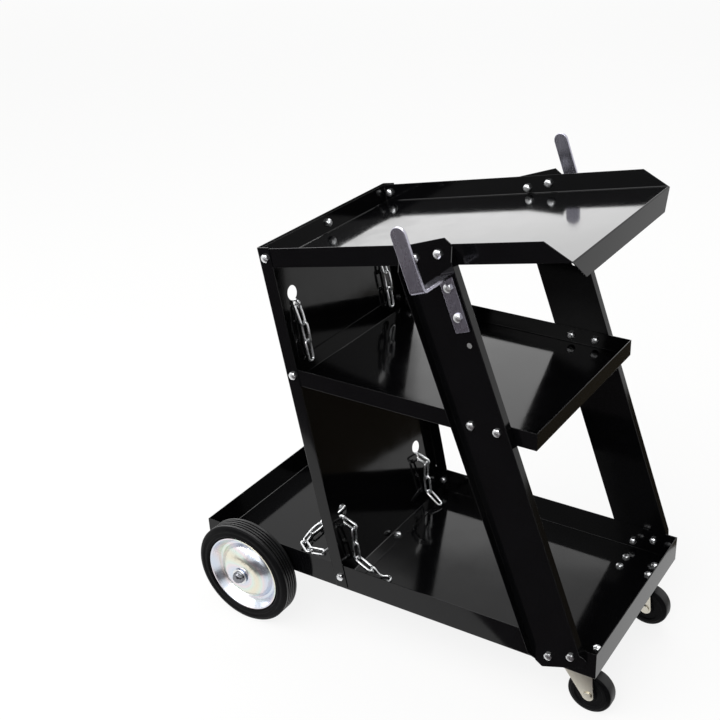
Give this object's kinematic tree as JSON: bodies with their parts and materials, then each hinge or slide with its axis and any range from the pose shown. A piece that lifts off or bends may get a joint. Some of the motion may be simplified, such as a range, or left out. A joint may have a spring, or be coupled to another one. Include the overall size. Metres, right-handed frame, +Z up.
{
  "type": "gas cylinder cart",
  "caption": "Black folded-steel welding cart with three trays, a rear gas cylinder bay, chains, cable hooks, rear wheels and swivel casters.",
  "frame": {"origin": "centre of the bounding box, on the ground", "axes": "+Z up; +X forward, towards the casters; +Y to the left"},
  "size_m": [0.6402, 0.4184, 0.6773],
  "materials": {
    "black_enamel": "gloss black stoving enamel on folded sheet steel",
    "zinc_bar": "zinc-plated flat bar, slightly dull",
    "zinc_fastener": "bright zinc plate",
    "zinc_rim": "bright zinc-plated pressed steel",
    "tyre_rubber": "matt black moulded rubber",
    "zinc_caster": "zinc-plated pressed steel with a faint yellow tint",
    "caster_rubber": "matt black rubber",
    "zinc_chain": "bright zinc-plated welded wire"
  },
  "bodies": {
    "frame": {"bottom_tray": "black_enamel", "middle_tray": "black_enamel", "top_tray": "black_enamel", "back_panel": "black_enamel", "right_front_leg": "black_enamel", "left_front_leg": "black_enamel", "right_axle_bracket": "black_enamel", "left_axle_bracket": "black_enamel", "right_cable_hook": "zinc_bar", "left_cable_hook": "zinc_bar", "panel_bolts": "zinc_fastener", "panel_nuts": "zinc_fastener", "leg_bolts": "zinc_fastener", "leg_nuts": "zinc_fastener", "hook_bolts": "zinc_fastener", "hook_nuts": "zinc_fastener", "caster_bolts": "zinc_fastener", "caster_nuts": "zinc_fastener", "axle_washers": "zinc_fastener", "axle_spacers": "zinc_fastener", "rear_axle": "zinc_fastener", "right_axle_cap": "zinc_fastener", "left_axle_cap": "zinc_fastener", "right_caster_plate": "zinc_caster", "right_caster_race": "zinc_caster", "right_caster_kingpin": "zinc_caster", "left_caster_plate": "zinc_caster", "left_caster_race": "zinc_caster", "left_caster_kingpin": "zinc_caster", "chain_lock_links": "zinc_chain"},
    "right_rear_wheel": {"right_wheel_tyre": "tyre_rubber", "right_wheel_rim_outer": "zinc_rim", "right_wheel_rim_inner": "zinc_rim", "right_wheel_bush": "zinc_rim"},
    "right_caster_swivel": {"right_caster_fork": "zinc_caster", "right_caster_axle": "zinc_caster"},
    "right_caster_roller": {"right_caster_wheel": "caster_rubber", "right_caster_bush": "zinc_caster"},
    "left_rear_wheel": {"left_wheel_tyre": "tyre_rubber", "left_wheel_rim_outer": "zinc_rim", "left_wheel_rim_inner": "zinc_rim", "left_wheel_bush": "zinc_rim"},
    "left_caster_swivel": {"left_caster_fork": "zinc_caster", "left_caster_axle": "zinc_caster"},
    "left_caster_roller": {"left_caster_wheel": "caster_rubber", "left_caster_bush": "zinc_caster"},
    "upper_right_tail": {"upper_right_chain_tail": "zinc_chain"},
    "lower_right_tail": {"lower_right_chain_tail": "zinc_chain"},
    "upper_left_tail": {"upper_left_chain_tail": "zinc_chain"},
    "lower_left_tail": {"lower_left_chain_tail": "zinc_chain"},
    "upper_loop": {"upper_chain_loop": "zinc_chain"},
    "lower_loop": {"lower_chain_loop": "zinc_chain"},
    "hook": {"chain_hook": "zinc_chain"}
  },
  "joints": [
    {"name": "right_rear_wheel_roll", "type": "hinge", "parent": "frame", "child": "right_rear_wheel", "pos_m": [-0.23513, -0.16475, 0.0795], "axis": [0, 1, 0], "continuous": true},
    {"name": "right_caster_turn", "type": "hinge", "parent": "frame", "child": "right_caster_swivel", "pos_m": [0.26587, -0.103, 0.078], "axis": [0, 0, 1], "continuous": true},
    {"name": "right_caster_roll", "type": "hinge", "parent": "right_caster_swivel", "child": "right_caster_roller", "pos_m": [0.28837, -0.103, 0.03175], "axis": [0, 1, 0], "continuous": true},
    {"name": "left_rear_wheel_roll", "type": "hinge", "parent": "frame", "child": "left_rear_wheel", "pos_m": [-0.23513, 0.16475, 0.0795], "axis": [0, 1, 0], "continuous": true},
    {"name": "left_caster_turn", "type": "hinge", "parent": "frame", "child": "left_caster_swivel", "pos_m": [0.26587, 0.103, 0.078], "axis": [0, 0, 1], "continuous": true},
    {"name": "left_caster_roll", "type": "hinge", "parent": "left_caster_swivel", "child": "left_caster_roller", "pos_m": [0.28837, 0.103, 0.03175], "axis": [0, 1, 0], "continuous": true},
    {"name": "upper_right_tail_swing", "type": "hinge", "parent": "frame", "child": "upper_right_tail", "pos_m": [-0.15589, -0.1, 0.497], "axis": [0, 1, 0], "range_deg": [-60, 0]},
    {"name": "lower_right_tail_swing", "type": "hinge", "parent": "frame", "child": "lower_right_tail", "pos_m": [-0.08687, -0.1, 0.16465], "axis": [0, 1, 0], "range_deg": [-60, 0]},
    {"name": "upper_left_tail_swing", "type": "hinge", "parent": "frame", "child": "upper_left_tail", "pos_m": [-0.15589, 0.1, 0.497], "axis": [0, 1, 0], "range_deg": [-60, 0]},
    {"name": "lower_left_tail_swing", "type": "hinge", "parent": "frame", "child": "lower_left_tail", "pos_m": [-0.08687, 0.1, 0.16465], "axis": [0, 1, 0], "range_deg": [-60, 0]},
    {"name": "upper_loop_swing", "type": "hinge", "parent": "frame", "child": "upper_loop", "pos_m": [-0.17192, 0, 0.48378], "axis": [0, 1, 0], "range_deg": [-4, 50]},
    {"name": "lower_loop_lift", "type": "hinge", "parent": "frame", "child": "lower_loop", "pos_m": [-0.10642, 0, 0.17166], "axis": [0, 1, 0], "range_deg": [0, 30]},
    {"name": "chain_hook_swing", "type": "hinge", "parent": "lower_right_tail", "child": "hook", "pos_m": [-0.05848, -0.1, 0.09964], "axis": [0, 1, 0], "range_deg": [-60, 0]}
  ]
}
